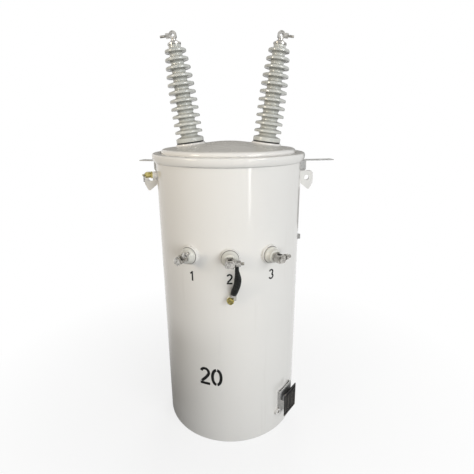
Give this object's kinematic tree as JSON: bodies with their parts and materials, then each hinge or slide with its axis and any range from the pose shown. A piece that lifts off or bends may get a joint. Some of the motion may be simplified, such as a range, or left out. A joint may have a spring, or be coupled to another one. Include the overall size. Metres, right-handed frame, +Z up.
{
  "type": "pole mounted transformer",
  "caption": "Round oil-filled pole transformer: clamped cone cover with shedded line bushings, clamp terminals on the front wall, lifting lugs, earth strap and pole hangers.",
  "frame": {"origin": "centre of the tank's underside, on the floor it stands on", "axes": "+Z up along the tank axis, -Y towards the wall bushings, +X to the right as seen from the front"},
  "size_m": [0.6534, 0.586, 1.2799],
  "materials": {
    "tank_paint": "glossy light grey paint",
    "porcelain": "glazed light grey porcelain",
    "lv_porcelain": "glazed grey porcelain",
    "gasket_rubber": "matt black rubber",
    "strap_sleeve": "black sleeve",
    "tinned_metal": "dull tinned bronze",
    "zinc_steel": "galvanised steel",
    "brass": "cast brass",
    "plate_black": "black anodised plate",
    "core_steel": "hidden filling"
  },
  "bodies": {
    "root": {"tank_shell": "tank_paint", "tank_bottom": "tank_paint", "oil_and_core": "core_steel", "cover": "tank_paint", "cover_band": "tank_paint", "band_bolt": "zinc_steel", "hv_gasket_left": "gasket_rubber", "hv_gasket_right": "gasket_rubber", "hv_bushing_left": "porcelain", "hv_bushing_right": "porcelain", "hv_cap_left": "tinned_metal", "hv_cap_right": "tinned_metal", "hv_terminal_left": "tinned_metal", "hv_terminal_right": "tinned_metal", "hv_eyebolt_left": "tinned_metal", "hv_eyebolt_right": "tinned_metal", "lv_boss_1": "tank_paint", "lv_boss_2": "tank_paint", "lv_boss_3": "tank_paint", "lv_bushing_1": "lv_porcelain", "lv_bushing_2": "lv_porcelain", "lv_bushing_3": "lv_porcelain", "lv_terminal_1": "tinned_metal", "lv_terminal_2": "tinned_metal", "lv_terminal_3": "tinned_metal", "lv_eyebolt_1": "tinned_metal", "lv_eyebolt_2": "tinned_metal", "lv_eyebolt_3": "tinned_metal", "ground_strap": "strap_sleeve", "strap_lug_top": "tinned_metal", "strap_lug_low": "tinned_metal", "strap_bolt": "brass", "lifting_lug_left": "tank_paint", "lifting_lug_right": "tank_paint", "side_bracket_left": "zinc_steel", "side_bracket_right": "zinc_steel", "relief_valve": "brass", "relief_ring": "zinc_steel", "level_plug": "zinc_steel", "nameplate_bracket": "tank_paint", "nameplate": "plate_black", "ground_boss": "tank_paint", "hanger_upper": "tank_paint", "hanger_lower": "tank_paint"}
  },
  "joints": []
}
